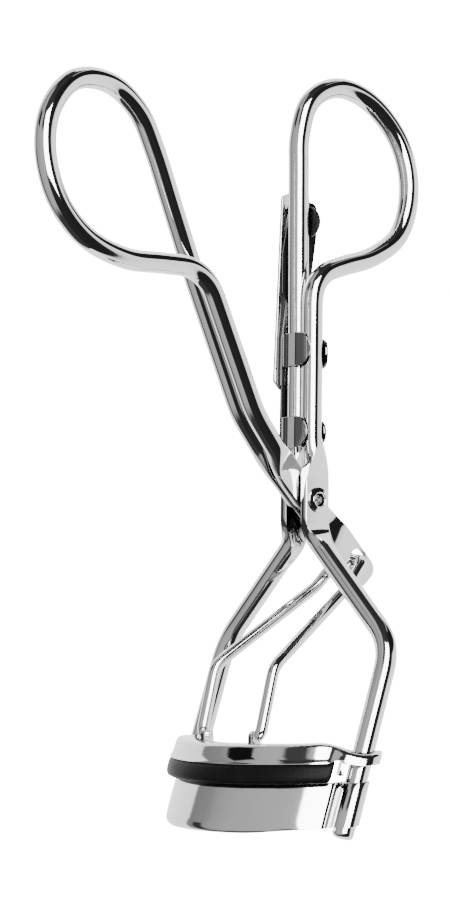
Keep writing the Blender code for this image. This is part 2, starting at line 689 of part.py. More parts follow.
def main():
    clear_scene()
    chrome = (0.82, 0.82, 0.83)
    root = bpy.data.objects.new("pivot_axis", None)
    bpy.context.scene.collection.objects.link(root)
    make_fixed_handle(material("fixed_handle_chrome", chrome, 1.0, 0.08), root)
    make_moving_handle(material("moving_handle_chrome", chrome, 1.0, 0.08), root)
    make_pivot_rivet(material("rivet_steel", (0.7, 0.7, 0.72), 1.0, 0.2), root)
    make_link(material("link_chrome", chrome, 1.0, 0.1), root)
    make_upper_jaw(material("upper_jaw_chrome", chrome, 1.0, 0.08), root)
    make_pad(material("pad_rubber", (0.015, 0.015, 0.015), 0.0, 0.45), root)
    make_lower_jaw(material("lower_jaw_chrome", chrome, 1.0, 0.08), root)
    make_holder(material("holder_steel", (0.25, 0.25, 0.26), 1.0, 0.2), root)
    make_blade(material("blade_steel", (0.75, 0.75, 0.76), 1.0, 0.15), root)
    make_blade_rivet(material("blade_rivet_steel", (0.6, 0.6, 0.62), 1.0, 0.2), root)
    settle_on_floor(root)


main()
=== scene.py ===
"""Looks of the eyelash curler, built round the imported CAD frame.

Shapes are written in millimetres from the same datum as the CAD: the pivot's height on the fixed
handle's centre line, +X along the pivot, +Z up the fixed handle, jaws bulging towards -Y.
"""

import math

import bmesh
import bpy
from mathutils import Matrix, Vector


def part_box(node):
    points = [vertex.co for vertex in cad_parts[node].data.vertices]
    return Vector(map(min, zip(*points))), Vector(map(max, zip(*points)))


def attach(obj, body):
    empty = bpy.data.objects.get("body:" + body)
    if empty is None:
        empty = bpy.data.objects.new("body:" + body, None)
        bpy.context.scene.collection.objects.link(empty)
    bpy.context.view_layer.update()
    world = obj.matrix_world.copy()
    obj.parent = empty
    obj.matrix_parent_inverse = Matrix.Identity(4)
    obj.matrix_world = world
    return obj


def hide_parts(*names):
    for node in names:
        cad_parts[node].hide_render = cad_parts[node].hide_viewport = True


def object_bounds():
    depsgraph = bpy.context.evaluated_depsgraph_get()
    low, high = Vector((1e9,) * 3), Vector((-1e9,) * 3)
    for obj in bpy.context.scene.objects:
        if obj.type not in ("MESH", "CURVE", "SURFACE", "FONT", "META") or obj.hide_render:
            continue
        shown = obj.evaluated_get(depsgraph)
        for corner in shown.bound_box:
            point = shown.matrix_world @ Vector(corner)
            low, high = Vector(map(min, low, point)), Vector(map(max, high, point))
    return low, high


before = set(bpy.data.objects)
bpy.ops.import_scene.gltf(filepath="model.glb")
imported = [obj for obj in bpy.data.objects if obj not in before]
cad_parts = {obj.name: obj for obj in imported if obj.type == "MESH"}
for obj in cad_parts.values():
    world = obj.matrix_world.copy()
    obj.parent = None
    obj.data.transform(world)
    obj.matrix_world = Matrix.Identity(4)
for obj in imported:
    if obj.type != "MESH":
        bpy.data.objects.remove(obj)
cad_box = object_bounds()

MM = 0.001
PIVOT = Vector((0.0, 0.4, 0.0))
rivet_low, rivet_high = (Vector(corner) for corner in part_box("pivot_rivet"))
ORIGIN = (rivet_low + rivet_high) / 2 - PIVOT * MM       # the datum, in the frame's metres

# Shared dimensions --------------------------------------------------------------------------------
WIRE_R = 1.4                    # handle wire
HANDLE_X = 1.45                 # the two wires of a handle run side by side at +-HANDLE_X
HANDLE_Y = 0.25                 # middle of the fixed handle's straight wires
UPRIGHT_X = 16.7                # half the distance between the two uprights
UPRIGHT_TOP = Vector((UPRIGHT_X, 0.8, -19.1))
UPRIGHT_LEAN = math.radians(18.4)
UPRIGHT_LENGTH = 25.9
DOWN = Vector((0, -math.sin(UPRIGHT_LEAN), -math.cos(UPRIGHT_LEAN)))

# Flattened stretches of wire: middle along X, half thickness, half width.
PLATE_X, PLATE_T, PLATE_W = 2.1, 0.62, 2.1
LEVER_X, LEVER_T, LEVER_W = 0.65, 0.53, 2.0
TAIL_X, TAIL_T, TAIL_W = 1.3, 0.38, 2.3
TAIL_TOE_X = 0.5                # the lever pinches in between its cheek and its tail
FLAT_SKEW = 1.6                 # the frame's cheeks reach further on their +Y side
TAIL_ANGLE = math.radians(-45.5)
TAIL_LENGTH = 14.7
TAIL_HOLE = (11.4, 0.5)         # along the tail and across it
TAIL_HOLE_R = 1.55

LINK_R = 0.8
LINK_LEG_X = 6.0
LINK_TOP_X = 2.75
LUG_X = 4.85
LUG_PIVOT = Vector((0.0, -12.05, -31.3))

JAW_SINK = 0.06                 # the jaws dip this much per millimetre away from the uprights
JAW_DEPTH = 10.7                # sagitta of the jaws' middle line
JAW_R = (UPRIGHT_X ** 2 + JAW_DEPTH ** 2) / (2 * JAW_DEPTH)
JAW_END = math.asin(UPRIGHT_X / JAW_R)
JAW_HALF = JAW_R * JAW_END      # arc length from the middle to an upright
FLANGE_TOP = 13.1               # heights of the jaws, as distances down an upright from its corner
SKIRT_BOTTOM = 15.7
PAD_BOTTOM = 18.1
LOWER_TOP = 18.4
LOWER_BOTTOM = 24.5
LOWER_BELLY = 0.45              # the lower jaw is this much deeper at its middle
EAR_DROOP = 1.35                # the upper jaw's top rolls down this far on its way to the ears
EAR_R = 2.45
EAR_T = 1.7
SLEEVE_MID_R = 1.62             # middle of the sheet rolled round an upright
SHEET_HALF_T = 0.2

BLADE_PIVOT = Vector((0.0, 1.8, 36.3))
WEB_TWIST = 0.27                # the holder's web leans round the wire, millimetres per millimetre


# Mesh helpers -------------------------------------------------------------------------------------
def to_frame(point):
    """Datum millimetres to the frame's metres."""
    return ORIGIN + point * MM


def add_piece(name, bm, mat, smooth_angle=40):
    """Object in the frame's metres from a bmesh in datum millimetres."""
    bmesh.ops.recalc_face_normals(bm, faces=bm.faces)
    for vert in bm.verts:
        vert.co = to_frame(vert.co)
    mesh = bpy.data.meshes.new(name)
    bm.to_mesh(mesh)
    bm.free()
    mesh.materials.append(mat)
    mesh.shade_smooth()
    mesh.set_sharp_from_angle(angle=math.radians(smooth_angle))
    obj = bpy.data.objects.new(name, mesh)
    bpy.context.scene.collection.objects.link(obj)
    return obj


def boolean(target, bm, operation):
    """Cut or join the target with another solid, and keep the result as its mesh."""
    cutter = add_piece("cutter", bm, target.data.materials[0])
    modifier = target.modifiers.new("cut", 'BOOLEAN')
    modifier.operation = operation
    modifier.solver = 'EXACT'
    modifier.object = cutter
    graph = bpy.context.evaluated_depsgraph_get()
    result = bpy.data.meshes.new_from_object(target.evaluated_get(graph))
    target.modifiers.clear()
    target.data = result
    bpy.data.objects.remove(cutter, do_unlink=True)
    result.shade_smooth()
    result.set_sharp_from_angle(angle=math.radians(40))


def bridge(bm, rings, closed_path=False):
    """Skin a list of equally long point rings into a closed solid."""
    verts = [[bm.verts.new(p) for p in ring] for ring in rings]
    count = len(rings[0])
    pairs = list(zip(verts, verts[1:]))
    if closed_path:
        pairs.append((verts[-1], verts[0]))
    for low, high in pairs:
        for i in range(count):
            j = (i + 1) % count
            bm.faces.new((low[i], low[j], high[j], high[i]))
    if not closed_path:
        bm.faces.new(list(reversed(verts[0])))
        bm.faces.new(verts[-1])


def cylinder(start, end, radius, sides=48):
    bm = bmesh.new()
    axis = (end - start).normalized()
    side = axis.orthogonal().normalized()
    up = axis.cross(side)
    turns = [2 * math.pi * i / sides for i in range(sides)]
    bridge(bm, [[c + (side * math.cos(a) + up * math.sin(a)) * radius for a in turns]
                for c in (start, end)])
    return bm


def revolve(bm, profile, centre, axis, sides=64):
    """Turn a closed (distance along the axis, radius) profile about an axis."""
    side = axis.orthogonal().normalized()
    up = axis.cross(side)
    rings = []
    for i in range(sides):
        a = 2 * math.pi * i / sides
        spoke = side * math.cos(a) + up * math.sin(a)
        rings.append([centre + axis * along + spoke * radius for along, radius in profile])
    bridge(bm, rings, closed_path=True)


def smoothstep(low, high, value):
    t = min(max((value - low) / (high - low), 0.0), 1.0)
    return t * t * (3 - 2 * t)


def mix(a, b, t):
    return a + (b - a) * t


# Paths --------------------------------------------------------------------------------------------
def fillet_path(corners, turn_step=math.radians(2)):
    """Polyline through (point, bend radius) corners with every bend as a true arc."""
    path = [corners[0][0]]
    for (a, _), (b, radius), (c, _) in zip(corners, corners[1:], corners[2:]):
        into = (b - a).normalized()
        out = (c - b).normalized()
        turn = into.angle(out)
        if turn < 1e-4 or radius == 0:
            path.append(b)
            continue
        start = b - into * (radius * math.tan(turn / 2))
        centre = start + (out - into * into.dot(out)).normalized() * radius
        arm = start - centre
        axis = into.cross(out).normalized()
        steps = max(2, math.ceil(turn / turn_step))
        path += [centre + Matrix.Rotation(turn * k / steps, 3, axis) @ arm for k in range(steps + 1)]
    path.append(corners[-1][0])
    return path


def spline(knots, step=0.3):
    """Centripetal Catmull-Rom curve through the knots."""
    points = [2 * knots[0] - knots[1]] + knots + [2 * knots[-1] - knots[-2]]
    path = []
    for p0, p1, p2, p3 in zip(points, points[1:], points[2:], points[3:]):
        t1 = math.sqrt((p1 - p0).length)
        t2 = t1 + math.sqrt((p2 - p1).length)
        t3 = t2 + math.sqrt((p3 - p2).length)
        count = max(2, round((p2 - p1).length / step))
        for k in range(count):
            t = t1 + (t2 - t1) * k / count
            a1 = p0.lerp(p1, t / t1)
            a2 = p1.lerp(p2, (t - t1) / (t2 - t1))
            a3 = p2.lerp(p3, (t - t2) / (t3 - t2))
            b1 = a1.lerp(a2, t / t2)
            b2 = a2.lerp(a3, (t - t1) / (t3 - t1))
            path.append(b1.lerp(b2, (t - t1) / (t2 - t1)))
    path.append(knots[-1])
    return path


def resample(path, step):
    """Points at an even spacing of about the given step along a polyline."""
    lengths = [0.0]
    for a, b in zip(path, path[1:]):
        lengths.append(lengths[-1] + (b - a).length)
    count = max(1, round(lengths[-1] / step))
    result = []
    i = 0
    for k in range(count + 1):
        want = lengths[-1] * k / count
        while i < len(path) - 2 and lengths[i + 1] < want:
            i += 1
        span = max(lengths[i + 1] - lengths[i], 1e-9)
        result.append(path[i].lerp(path[i + 1], min((want - lengths[i]) / span, 1.0)))
    return result


def relaxed(path, passes):
    """Ease the curvature jumps between bends, with the ends held."""
    for _ in range(passes):
        path = [path[0]] + [a * 0.25 + b * 0.5 + c * 0.25 for a, b, c in zip(path, path[1:], path[2:])] \
            + [path[-1]]
    return path


def mirrored(points):
    return [Vector((-p.x, p.y, p.z)) for p in points]


def bar_point(turn, half_t, half_w, corner_r):
    """Point (t, w) of a rounded rectangle; a circle when the corner radius equals both halves."""
    side_t = math.copysign(half_t - corner_r, math.cos(turn))
    side_w = math.copysign(half_w - corner_r, math.sin(turn))
    return side_t + corner_r * math.cos(turn), side_w + corner_r * math.sin(turn)


def sweep_bar(path, section, skew=0.0, sides=40):
    """Sweep section(point, distance from the nearer end), its thickness kept along X.

    The skew stretches a flattened stretch on its +Y side and shortens it on its -Y side.
    """
    bm = bmesh.new()
    lengths = [0.0]
    for a, b in zip(path, path[1:]):
        lengths.append(lengths[-1] + (b - a).length)
    rings = []
    for i, point in enumerate(path):
        tangent = (path[min(i + 1, len(path) - 1)] - path[max(i - 1, 0)]).normalized()
        thick = (Vector((1, 0, 0)) - tangent * tangent.x).normalized()
        wide = tangent.cross(thick)
        end = min(lengths[i], lengths[-1] - lengths[i])
        ring = []
        for k in range(sides):
            turn = 2 * math.pi * (k + 0.5) / sides
            shift = skew * math.sin(turn) * wide.y * (1 if point.z < 0 else -1)
            t, w = bar_point(turn, *section(point + Vector((0, 0, shift)), end))
            ring.append(point + thick * t + wide * w)
        rings.append(ring)
    bridge(bm, rings)
    return bm


def sweep_round(path, radius_at, sides=28):
    """Sweep a round wire whose radius depends on the distance from its nearer end."""
    bm = bmesh.new()
    lengths = [0.0]
    for a, b in zip(path, path[1:]):
        lengths.append(lengths[-1] + (b - a).length)
    side = (path[1] - path[0]).orthogonal().normalized()
    rings = []
    for i, point in enumerate(path):
        tangent = (path[min(i + 1, len(path) - 1)] - path[max(i - 1, 0)]).normalized()
        side = (side - tangent * side.dot(tangent)).normalized()
        up = tangent.cross(side)
        radius = radius_at(min(lengths[i], lengths[-1] - lengths[i]))
        rings.append([point + (side * math.cos(a) + up * math.sin(a)) * radius
                      for a in (2 * math.pi * k / sides for k in range(sides))])
    bridge(bm, rings)
    return bm


def with_ends(path, reach=0.6, steps=7):
    """Extra stations close to both ends, for a rounded tip."""
    def tip(end, inner):
        way = (inner - end).normalized()
        return [end + way * (reach * (1 - math.cos(math.pi / 2 * k / steps))) for k in range(steps)]

    body = [p for p in path if (p - path[0]).length > reach and (p - path[-1]).length > reach]
    return tip(path[0], path[1]) + body + tip(path[-1], path[-2])[::-1]


# Handle wires -------------------------------------------------------------------------------------
def upright_point(side, distance):
    return Vector((side * UPRIGHT_X, UPRIGHT_TOP.y, UPRIGHT_TOP.z)) + DOWN * distance


def tail_point(x, along, across=0.0):
    """Point on the lever's tail, along it from the pivot and across it towards its upper edge."""
    c, s = math.cos(TAIL_ANGLE), math.sin(TAIL_ANGLE)
    return PIVOT + Vector((x, along * c - across * s, along * s + across * c))


def closed_handle(near, loop, far):
    """Join a handle's two wires through its finger loop, crossing evenly from +X to -X."""
    def flat(p):
        return Vector((0, p.y, p.z))

    curve = spline([flat(near[-2]), flat(near[-1])] + [Vector((0, y, z)) for y, z in loop]
                   + [flat(far[0]), flat(far[1])])
    start = min(range(len(curve)), key=lambda i: (curve[i] - flat(near[-1])).length)
    stop = min(range(len(curve)), key=lambda i: (curve[i] - flat(far[0])).length)
    arc = curve[start + 1:stop]
    for i, point in enumerate(arc):
        point.x = HANDLE_X * math.cos(math.pi * smoothstep(0, len(arc) - 1, i))
    return relaxed(resample(near + arc + far, 0.4), 5)


def frame_path():
    """Centre line of the fixed handle's wire, from one sleeve round the loop to the other."""
    def leg(side):
        return [upright_point(side, UPRIGHT_LENGTH),
                Vector((side * UPRIGHT_TOP.x, UPRIGHT_TOP.y, UPRIGHT_TOP.z)),
                Vector((side * PLATE_X, 0.7, -5.2)),
                Vector((side * PLATE_X, 0.4, -3.0)),
                Vector((side * PLATE_X, 0.4, 3.6)),
                Vector((side * HANDLE_X, HANDLE_Y, 7.8))]

    radii = [0, 7.0, 4.0, 4.0, 6.0, 6.0]
    near = fillet_path(list(zip(leg(1), radii))
                       + [(Vector((HANDLE_X, HANDLE_Y, 30.4)), 5.0), (Vector((HANDLE_X, 6.0, 32.4)), 0)])
    far = fillet_path([(Vector((-HANDLE_X, 0.05, 46.0)), 0), (Vector((-HANDLE_X, HANDLE_Y, 22.0)), 40.0)]
                      + list(zip(leg(-1), radii))[::-1])
    loop = [(10.9, 34.0), (16.2, 37.7), (18.5, 44.6), (17.2, 51.2), (12.3, 56.3), (6.6, 57.5),
            (1.9, 54.9), (0.1, 49.5)]
    return with_ends(closed_handle(near, loop, far))


def lever_path():
    """Centre line of the moving handle's wire, from one tail round the loop to the other."""
    def leg(side):
        return [tail_point(side * TAIL_X, TAIL_LENGTH), tail_point(side * TAIL_X, 6.6),
                tail_point(side * TAIL_TOE_X, 4.5), tail_point(side * LEVER_X, 2.6),
                tail_point(side * LEVER_X, -5.0),
                tail_point(side * HANDLE_X, -9.0), Vector((side * HANDLE_X, -9.75, 11.1))]

    radii = [0, 0.8, 0.8, 3.0, 6.0, 6.0, 14.0]
    near = fillet_path(list(zip(leg(1), radii))
                       + [(Vector((HANDLE_X, -18.5, 29.6)), 6.0), (Vector((HANDLE_X, -26.0, 29.5)), 0)])
    far = fillet_path([(Vector((-HANDLE_X, -21.9, 38.0)), 0), (Vector((-HANDLE_X, -17.7, 28.2)), 60.0)]
                      + list(zip(leg(-1), radii))[::-1])
    loop = [(-31.5, 29.5), (-37.8, 31.6), (-41.9, 35.8), (-43.6, 41.8), (-42.5, 47.4), (-38.3, 51.9),
            (-32.2, 52.3), (-27.5, 49.3), (-24.8, 44.7)]
    return with_ends(closed_handle(near, loop, far), 1.6, 9)


def frame_section(point, end):
    """Round wire, pressed flat at the pivot and rounded off at its ends."""
    flat = smoothstep(-7.2, -3.8, point.z) * (1 - smoothstep(3.4, 7.4, point.z))
    tip = math.sqrt(max(0.0, 1 - (1 - min(end / 0.6, 1.0)) ** 2)) * 0.5 + 0.5
    half_t = mix(WIRE_R, PLATE_T, flat) * tip
    half_w = mix(WIRE_R, PLATE_W, flat) * tip
    return half_t, half_w, min(half_t, half_w, mix(WIRE_R, 0.3, flat ** 0.5))


def lever_section(point, end):
    """Round wire, pressed flat at the pivot and thinner again along the tail."""
    along = (point - PIVOT).dot(tail_point(0, 1) - PIVOT)
    flat = smoothstep(-9.5, -5.5, along)
    tail = smoothstep(2.6, 4.4, along)
    corner = 1.0
    if end < 1.6:
        corner = 0.4 + 0.6 * math.sqrt(max(0.0, 1 - (1 - end / 1.6) ** 2))
    half_t = mix(WIRE_R, LEVER_T, flat) + (TAIL_T - LEVER_T) * tail
    half_w = (mix(WIRE_R, LEVER_W, flat) + (TAIL_W - LEVER_W) * tail) * corner
    return half_t, half_w, min(half_t, half_w, mix(WIRE_R, 0.28, flat ** 0.5))


def mark_painted_recess_shade(obj):
    """Mask the inner faces of the two cheeks, where painted shade darkens the metal to near black."""
    # Painted shade: where this mask is 1 the metal's colour turns near black.
    mask = obj.data.attributes.new("painted_recess_shade", 'FLOAT', 'POINT')
    for vert, item in zip(obj.data.vertices, mask.data):
        point = (vert.co - ORIGIN) / MM
        inside = 1 - smoothstep(PLATE_X - 0.6, PLATE_X - 0.4, abs(point.x))
        item.value = inside * smoothstep(-9.0, -7.0, point.z) * (1 - smoothstep(1.5, 3.0, point.z))


def make_handles(frame_chrome, lever_chrome):
    reach = Vector((5, 0, 0))
    fixed = add_piece("fixed_handle_wire", sweep_bar(frame_path(), frame_section, FLAT_SKEW),
                      frame_chrome)
    boolean(fixed, cylinder(PIVOT - reach, PIVOT + reach, 1.3), 'DIFFERENCE')
    mark_painted_recess_shade(fixed)
    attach(fixed, "frame")
    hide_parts("fixed_handle_frame")
    moving = add_piece("moving_handle_wire", sweep_bar(lever_path(), lever_section), lever_chrome)
    boolean(moving, cylinder(PIVOT - reach, PIVOT + reach, 1.3), 'DIFFERENCE')
    hole = tail_point(0, *TAIL_HOLE)
    boolean(moving, cylinder(hole - reach, hole + reach, TAIL_HOLE_R), 'DIFFERENCE')
    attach(moving, "lever")
    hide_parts("moving_handle")


# Rivet and link -----------------------------------------------------------------------------------
def make_pivot_rivet(steel):
    """Tubular rivet: a conical flare with a rolled lip round the open bore."""
    face = PLATE_X + PLATE_T + 0.06
    roll = [(face, 1.0), (face, 1.62), (face + 0.05, 1.69), (face + 0.13, 1.7), (face + 0.19, 1.67)]
    roll += [(face + mix(0.2, 0.4, k / 4), mix(1.65, 1.12, k / 4)) for k in range(5)]
    roll += [(face + 0.44, 1.06), (face + 0.43, 0.98), (face + 0.33, 0.9), (face + 0.1, 0.84),
             (face - 0.3, 0.8), (face - 1.2, 0.78)]
    profile = roll + [(-along, radius) for along, radius in reversed(roll)]
    bm = bmesh.new()
    revolve(bm, profile, PIVOT, Vector((1, 0, 0)))
    rivet = add_piece("tubular_rivet", bm, steel, 50)
    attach(rivet, "frame")
    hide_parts("pivot_rivet")


def make_link(chrome):
    """U-shaped link wire: its bend runs through the tail holes, its ends hook into the lugs."""
    leg = [Vector((LUG_X - 0.75, LUG_PIVOT.y, LUG_PIVOT.z)),
           Vector((LINK_LEG_X, LUG_PIVOT.y, LUG_PIVOT.z)),
           Vector((LINK_LEG_X, -9.8, -22.2)), Vector((3.3, 5.6, -11.4)),
           tail_point(LINK_TOP_X, *TAIL_HOLE)]
    radii = [0, 0.85, 3.0, 4.0, 1.3]
    path = fillet_path(list(zip(leg, radii)) + list(zip(mirrored(leg), radii))[::-1])
    path = with_ends(relaxed(resample(path, 0.2), 10), 0.2, 3)

    def radius_at(end):
        return mix(0.42, LINK_R, smoothstep(0.9, 1.5, end))

    link = add_piece("link_bail", sweep_round(path, radius_at), chrome)
    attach(link, "link")
    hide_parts("link_wire")


# Jaws ---------------------------------------------------------------------------------------------
def in_jaw_plane(x, q):
    """Step of x across and q away from the uprights, in the jaws' slightly sinking plane."""
    return Vector((x, -q, -JAW_SINK * q))


def jaw_point(angle, offset, distance):
    """Point at an arc angle, offset outwards from the jaws' middle line, down the uprights."""
    radius = JAW_R + offset
    q = JAW_DEPTH - JAW_R + radius * math.cos(angle)
    return upright_point(0, distance) + in_jaw_plane(radius * math.sin(angle), q)


def ear_droop(s):
    """How far the upper jaw's top has rolled down at an arc length from its middle."""
    return EAR_DROOP * smoothstep(0.72 * JAW_HALF, JAW_HALF, abs(s))


def channel_ring(s):
    """Section of the upper jaw at an arc length from its middle; it widens into a flat round ear."""
    past = abs(s) - JAW_HALF
    top = FLANGE_TOP + ear_droop(s)
    ear = smoothstep(-4.6, -2.2, past)
    half = mix(1.68, EAR_R, ear)
    if past > 0:
        half = math.sqrt(max(EAR_R ** 2 - past ** 2, 0.01))
    skirt = SKIRT_BOTTOM - 0.9 * smoothstep(0.78 * JAW_HALF, 0.9 * JAW_HALF, abs(s))
    skirt = max(mix(skirt, top + EAR_T, ear), top + 0.95)
    back_skirt = mix(skirt - 0.35, top + EAR_T, ear)
    wall = mix(0.42, half - 0.05, ear)
    under = mix(top + 0.6, top + EAR_T - 0.02, ear)
    flare = 0.14 * (1 - ear)
    ring = []
    for side, low in ((1, skirt), (-1, back_skirt)):
        r = mix(0.42, 0.9, ear) * min(half, 1.0)
        shoulder = [(half - 0.2 * (1 - ear) - r + r * math.sin(a), top + r - r * math.cos(a))
                    for a in (math.pi / 2 * k / 6 for k in range(7))]
        mid = mix(top + r, low, 0.55)
        lip = [(half - 0.12 * (1 - ear), mid), (half, low - 0.34), (half + flare * 0.6, low - 0.16),
               (half + flare * 0.5, low - 0.04), (half - 0.1 + flare * 0.3, low)]
        face = max(half - wall, 0.02)
        inner = [(face, low - 0.02), (face * 0.98, mix(low, under, 0.5)),
                 (max(half - wall - 0.1, 0.01), under)]
        points = [(side * offset, distance) for offset, distance in shoulder + lip + inner]
        ring += points if side == 1 else points[::-1]
    return ring + [(-0.35 * half, top - 0.03), (0.35 * half, top - 0.03)]


def jaw_stations():
    """Arc lengths: even along the jaw, then closing up round each ear."""
    flat = [JAW_HALF * k / 90 for k in range(-90, 91)]
    tip = [JAW_HALF + EAR_R * math.sin(math.pi / 2 * k / 14) for k in range(1, 15)]
    return [-s for s in reversed(tip)] + flat + tip


def make_upper_jaw(chrome):
    """Pressed channel with a guide ear on each upright, two lugs and two stops for the pad."""
    bm = bmesh.new()
    bridge(bm, [[jaw_point(s / JAW_R, *corner) for corner in channel_ring(s)] for s in jaw_stations()])
    jaw = add_piece("upper_jaw_channel", bm, chrome, 45)
    for side in (1, -1):
        hole = cylinder(upright_point(side, 12), upright_point(side, 20), WIRE_R + 0.22)
        boolean(jaw, hole, 'DIFFERENCE')
    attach(jaw, "upper_jaw")
    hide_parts("upper_jaw")

    for side, label in ((1, "right"), (-1, "left")):
        bm = bmesh.new()
        y, z = LUG_PIVOT.y, LUG_PIVOT.z
        outline = [(-0.85, -1.3), (0.85, -1.3)] + [(0.85 * math.cos(a), 0.85 * math.sin(a))
                                                   for a in (math.pi * k / 16 for k in range(17))]
        rings = []
        for x, grow in ((-0.4, 0.9), (-0.3, 1.0), (0.3, 1.0), (0.4, 0.9)):
            rings.append([Vector((side * LUG_X + x, y + a * grow, z + b * grow)) for a, b in outline])
        bridge(bm, rings)
        lug = add_piece(label + "_lug", bm, chrome)
        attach(lug, "upper_jaw")

        bm = bmesh.new()
        angle = side * 0.885 * JAW_END
        rings = []
        for distance, grow in ((14.9, 1.0), (17.2, 1.0), (17.4, 0.93), (17.5, 0.7)):
            rings.append([jaw_point(angle + side * a * grow, b * grow, distance)
                          for a, b in ((-0.018, -1.0), (0.018, -1.0), (0.018, 1.15), (-0.018, 1.15))])
        bridge(bm, rings)
        stop = add_piece(label + "_pad_stop", bm, chrome)
        bevel = stop.modifiers.new("bevel", 'BEVEL')
        bevel.width = 0.00012
        bevel.segments = 3
        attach(stop, "upper_jaw")


def make_pad(rubber):
    """Rubber strip with a rounded foot, its ends cut square and softened."""
    head = SKIRT_BOTTOM + 0.02
    end_s = 0.83 * JAW_HALF

    def ring(s):
        drop = LOWER_TOP + 0.02 - head
        near_end = (end_s - abs(s)) / 0.5
        soft = math.sqrt(max(0.0, 1 - (1 - min(near_end, 1.0)) ** 2))
        grow = 0.72 + 0.28 * soft
        profile = [(0.75, -1.4), (0.75, 0.0), (1.45, 0.0), (1.66, 0.06), (1.76, 0.2), (1.79, 0.42),
                   (1.76, 0.62), (1.66, 0.78), (1.45, 0.9), (1.1, 0.97), (0.6, 0.995)]
        points = []
        for offset, down in profile:
            distance = head + down * drop if down >= 0 else head + max(down, ear_droop(s) - 1.8)
            if down > 0.4:
                distance = head + drop * mix(0.4, down, grow)
            points.append((offset * (grow if down >= 0 else 1), distance))
        return points + [(-offset, distance) for offset, distance in reversed(points)]

    stations = [end_s * k / 80 for k in range(-79, 80)]
    tips = [end_s - 0.5 * (1 - math.sin(math.pi / 2 * k / 6)) for k in range(1, 7)]
    stations = [-s for s in reversed(tips)] + [s for s in stations if abs(s) < end_s - 0.5] + tips
    bm = bmesh.new()
    bridge(bm, [[jaw_point(s / JAW_R, *corner) for corner in ring(s)] for s in stations])
    pad = add_piece("pad_strip", bm, rubber, 60)
    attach(pad, "upper_jaw")
    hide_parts("rubber_pad")


def lower_plan():
    """Middle line of the lower jaw's sheet, seen along the uprights: an arc curled round each wire."""
    leave = JAW_END - 0.16
    arc = [Vector((JAW_R * math.sin(a), JAW_DEPTH - JAW_R + JAW_R * math.cos(a), 0))
           for a in (leave * k / 70 for k in range(71))]
    inward = Vector((-math.sin(leave), -math.cos(leave), 0))
    centre = Vector((UPRIGHT_X, 0, 0))
    curl_start = centre + inward * SLEEVE_MID_R
    curl = []
    for k in range(1, 61):
        turn = math.radians(318) * k / 60
        arm = curl_start - centre
        curl.append(centre + Matrix.Rotation(turn, 3, 'Z') @ arm)
    gap = resample([arc[-1], arc[-1].lerp(curl_start, 0.5) + inward * 0.28, curl_start], 0.25)
    half = arc + gap[1:] + curl
    half = relaxed(resample(half, 0.22), 4)
    return [Vector((-p.x, p.y, 0)) for p in reversed(half[1:])] + half


def make_lower_jaw(chrome):
    """One sheet: a curved wall whose lower edge rolls inwards, wrapped round each upright."""
    plan = lower_plan()
    bm = bmesh.new()
    rings = []
    for i, point in enumerate(plan):
        way = (plan[min(i + 1, len(plan) - 1)] - plan[max(i - 1, 0)]).normalized()
        out = Vector((-way.y, way.x, 0))
        middle = max(0.0, 1 - abs(point.x) / UPRIGHT_X)
        wall = smoothstep(0.0, 0.12, middle)
        low = LOWER_BOTTOM + (LOWER_BELLY + 0.05) * smoothstep(0.15, 0.6, middle) - 0.15 * (1 - wall)
        roll = 0.85 * smoothstep(0.08, 0.62, middle)
        t = SHEET_HALF_T
        profile = [(t, LOWER_TOP + 0.12), (t, LOWER_TOP + 0.7)]
        profile += [(t, mix(LOWER_TOP + 0.7, low - 1.7, k / 4)) for k in range(1, 5)]
        profile += [(t - roll * (1 - math.cos(a)), low - 1.7 + 1.7 * math.sin(a))
                    for a in (math.pi / 2 * k / 9 for k in range(1, 10))]
        back = [(-t, LOWER_TOP + 0.12), (-t, low - 1.7)]
        back += [(-t - roll * (1 - math.cos(a)) * 0.9, low - 1.7 + 1.6 * math.sin(a))
                 for a in (math.pi / 2 * k / 5 for k in range(1, 6))]
        profile += back[::-1]
        profile += [(-t * 0.6, LOWER_TOP), (t * 0.6, LOWER_TOP)]
        ring = []
        for offset, distance in profile:
            across = point + out * offset
            ring.append(upright_point(0, distance) + in_jaw_plane(across.x, across.y))
        rings.append(ring)
    bridge(bm, rings)
    jaw = add_piece("lower_jaw_sheet", bm, chrome, 45)
    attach(jaw, "frame")
    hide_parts("lower_jaw")


# Side holder and blade ----------------------------------------------------------------------------
def rounded_outline(corners, segments=8):
    """Round the corners of a closed (y, z) outline; each corner is (y, z, radius)."""
    points = []
    count = len(corners)
    for i, (y, z, radius) in enumerate(corners):
        here = Vector((y, z))
        before = (Vector(corners[i - 1][:2]) - here).normalized()
        after = (Vector(corners[(i + 1) % count][:2]) - here).normalized()
        if radius == 0:
            points.append(here)
            continue
        half = before.angle(after) / 2
        reach = radius / math.tan(half)
        centre = here + (before + after).normalized() * (radius / math.sin(half))
        start = here + before * reach - centre
        finish = here + after * reach - centre
        for k in range(segments + 1):
            points.append(centre + start.slerp(finish, k / segments).normalized() * radius)
    return [(p.x, p.y) for p in points]


def plate(name, outline, x_low, x_high, bevel_width, mat, twist=0.0):
    """Flat plate beside the handle, turned a little round the handle's wire by its twist."""
    bm = bmesh.new()
    bridge(bm, [[Vector((x + (y - HANDLE_Y) * twist, y, z)) for y, z in outline]
                for x in (x_low, x_high)])
    obj = add_piece(name, bm, mat, 30)
    bevel = obj.modifiers.new("bevel", 'BEVEL')
    bevel.width = bevel_width * MM
    bevel.segments = 3
    bevel.limit_method = 'ANGLE'
    bevel.angle_limit = math.radians(50)
    return obj


